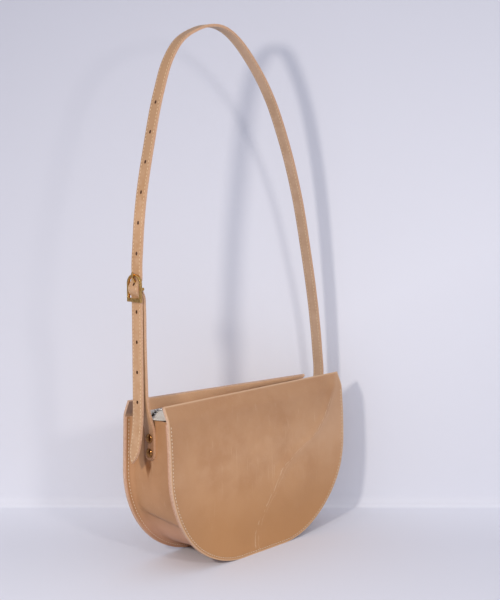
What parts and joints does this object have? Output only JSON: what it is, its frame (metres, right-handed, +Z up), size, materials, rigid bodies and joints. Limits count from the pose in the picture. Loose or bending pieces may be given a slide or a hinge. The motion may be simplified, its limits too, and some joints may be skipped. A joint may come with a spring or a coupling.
{
  "type": "saddle handbag",
  "caption": "Leather saddle handbag with D-shaped panels on a turned-out gusset, a zip top and a long shoulder strap adjusted by a centre-bar buckle.",
  "frame": {"origin": "middle of the bag's flat base, on the surface that it stands on", "axes": "+X along the bag's width towards the end without the buckle, -Y out of the front panel, +Z up"},
  "size_m": [0.2972, 0.073, 0.5566],
  "materials": {
    "panel_leather": "smooth vegetable-tanned leather, undyed tan",
    "strap_leather": "smooth vegetable-tanned leather, light tan",
    "zip_tape": "woven tape, off-white",
    "zip_metal": "bright nickel",
    "brass_hardware": "polished brass"
  },
  "bodies": {
    "bag": {"front_panel": "panel_leather", "back_panel": "panel_leather", "gusset": "panel_leather", "zip_tape_front": "zip_tape", "zip_tape_back": "zip_tape", "zip_teeth_front": "zip_metal", "zip_teeth_back": "zip_metal", "zip_stops": "zip_metal", "shoulder_strap": "strap_leather", "strap_lining": "strap_leather", "buckle_strap": "strap_leather", "rivet_caps_left": "brass_hardware", "rivet_bases_left": "brass_hardware", "rivet_caps_right": "brass_hardware", "rivet_bases_right": "brass_hardware"},
    "slider": {"zip_slider": "zip_metal"},
    "pull": {"zip_pull": "zip_metal"},
    "buckle": {"buckle_frame": "brass_hardware"},
    "prong": {"buckle_prong": "brass_hardware"}
  },
  "joints": [
    {"name": "zip_slide", "type": "slide", "parent": "bag", "child": "slider", "axis": [-1, 0, 0], "range_m": [0, 0.229]},
    {"name": "pull_swing", "type": "hinge", "parent": "slider", "child": "pull", "pos_m": [0.10705, 0, 0.1645], "axis": [0, -1, 0], "range_deg": [0, 110]},
    {"name": "buckle_tilt", "type": "hinge", "parent": "bag", "child": "buckle", "pos_m": [-0.1511, -0.0015, 0.293], "axis": [0, -1, 0], "range_deg": [-2.5, 2.5]},
    {"name": "prong_swing", "type": "hinge", "parent": "buckle", "child": "prong", "pos_m": [-0.1511, -0.0015, 0.293], "axis": [0, -1, 0], "range_deg": [0, 8]}
  ]
}
